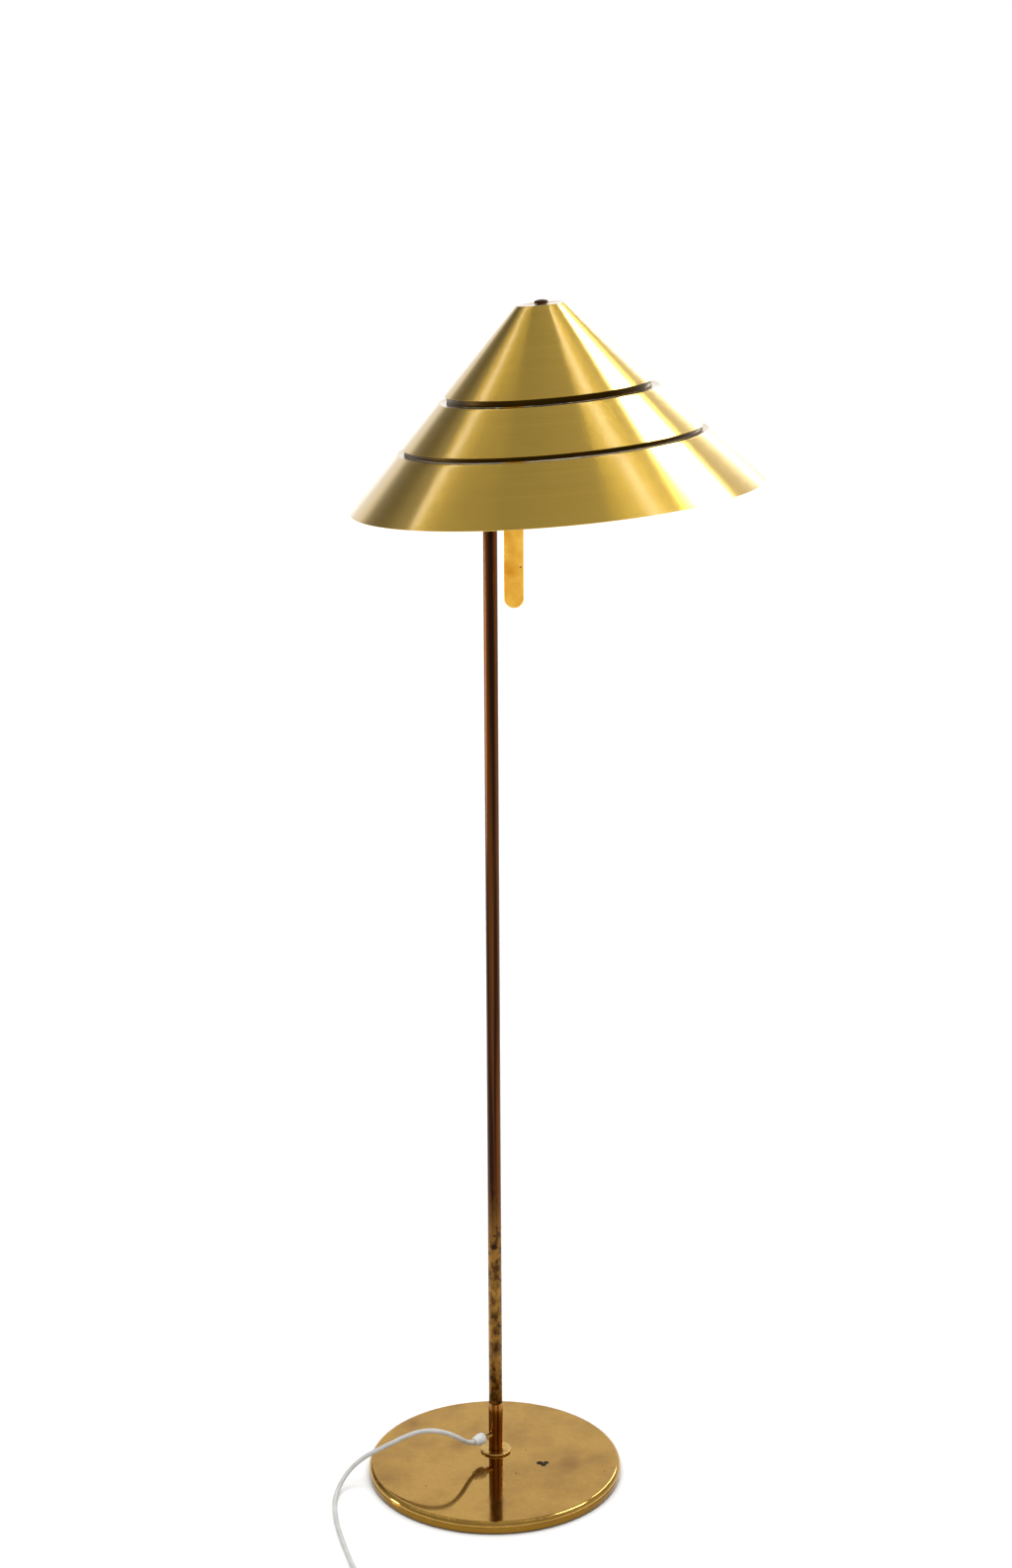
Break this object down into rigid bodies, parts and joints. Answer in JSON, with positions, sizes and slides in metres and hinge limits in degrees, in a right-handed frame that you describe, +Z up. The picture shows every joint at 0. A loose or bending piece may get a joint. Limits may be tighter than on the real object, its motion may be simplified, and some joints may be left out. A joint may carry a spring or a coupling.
{
  "type": "floor lamp",
  "caption": "Floor lamp with a round weighted base, a straight pole and a wide tiered conical shade that swivels and tilts on the pole top by a flat grip strip.",
  "frame": {"origin": "centre of the round base's underside, on the floor", "axes": "+Z up along the pole, +X to the right and +Y away from the viewer who faces the lamp's front"},
  "size_m": [0.4919, 0.5891, 1.3854],
  "materials": {
    "brass_satin": "spun and brushed, aged satin",
    "brass_polished": "polished, with light patina",
    "brass_dark": "drawn tube, dark patina",
    "brass_gold": "polished golden, handled",
    "bronze": "darkened",
    "steel": "zinc plated",
    "iron": "rough cast",
    "felt": "pressed felt",
    "fibre": "pressed fibre",
    "white_plastic": "moulded, semi-gloss",
    "cord_jacket": "smooth extruded jacket",
    "bakelite": "moulded, semi-gloss",
    "porcelain": "glazed",
    "opal_glass": "opal white"
  },
  "bodies": {
    "stand": {"base_pad": "felt", "base_weight": "iron", "base_cover": "brass_polished", "base_washer": "steel", "base_nut": "steel", "foot_stud": "steel", "foot_flange": "brass_polished", "lower_stem": "brass_dark", "joint_nipple": "steel", "pole_tube": "brass_dark", "pole_bush": "brass_polished", "pole_lead": "cord_jacket", "foot_lead": "cord_jacket", "cord_spigot": "brass_polished", "cord_grip": "white_plastic", "cord_run": "cord_jacket", "cord_coil": "cord_jacket", "cord_tail": "cord_jacket", "plug_body": "white_plastic", "plug_pin_near": "steel", "plug_pin_far": "steel"},
    "swivel": {"swivel_head": "brass_polished", "swivel_washer": "steel", "swivel_nut": "brass_polished", "pivot_screw": "brass_polished", "pivot_washer": "fibre", "pivot_nut": "brass_polished"},
    "head": {"grip_strip": "brass_gold", "shade_bracket": "brass_polished", "bracket_rivet_lower": "brass_polished", "bracket_rivet_upper": "brass_polished", "head_lead": "cord_jacket", "shade_top_tier": "brass_satin", "shade_neck_upper": "brass_dark", "shade_middle_tier": "brass_satin", "shade_neck_lower": "brass_dark", "shade_lower_tier": "brass_satin", "shade_washer": "steel", "shade_nut": "steel", "shade_nipple": "steel", "finial_nut": "bronze", "holder_locknut": "steel", "holder_cap": "bakelite", "holder_shell": "bakelite", "holder_insulator": "porcelain", "holder_thread": "brass_polished", "bulb_cap": "steel", "bulb_glass": "opal_glass"},
    "switch": {"switch_key": "bakelite"}
  },
  "joints": [
    {"name": "head_swivel", "type": "hinge", "parent": "stand", "child": "swivel", "pos_m": [0.0015, 0.022, 1.2], "axis": [0, 0, 1], "range_deg": [-170, 170]},
    {"name": "shade_tilt", "type": "hinge", "parent": "swivel", "child": "head", "pos_m": [0.02724, 0.0029, 1.2], "axis": [0.2419, 0.9703, 0], "range_deg": [-30, 30], "deforming": ["head_lead"]},
    {"name": "switch_turn", "type": "hinge", "parent": "head", "child": "switch", "pos_m": [0.0626, 0.01913, 1.32591], "axis": [0.9667, -0.241, 0.0859], "range_deg": [0, 90]}
  ]
}
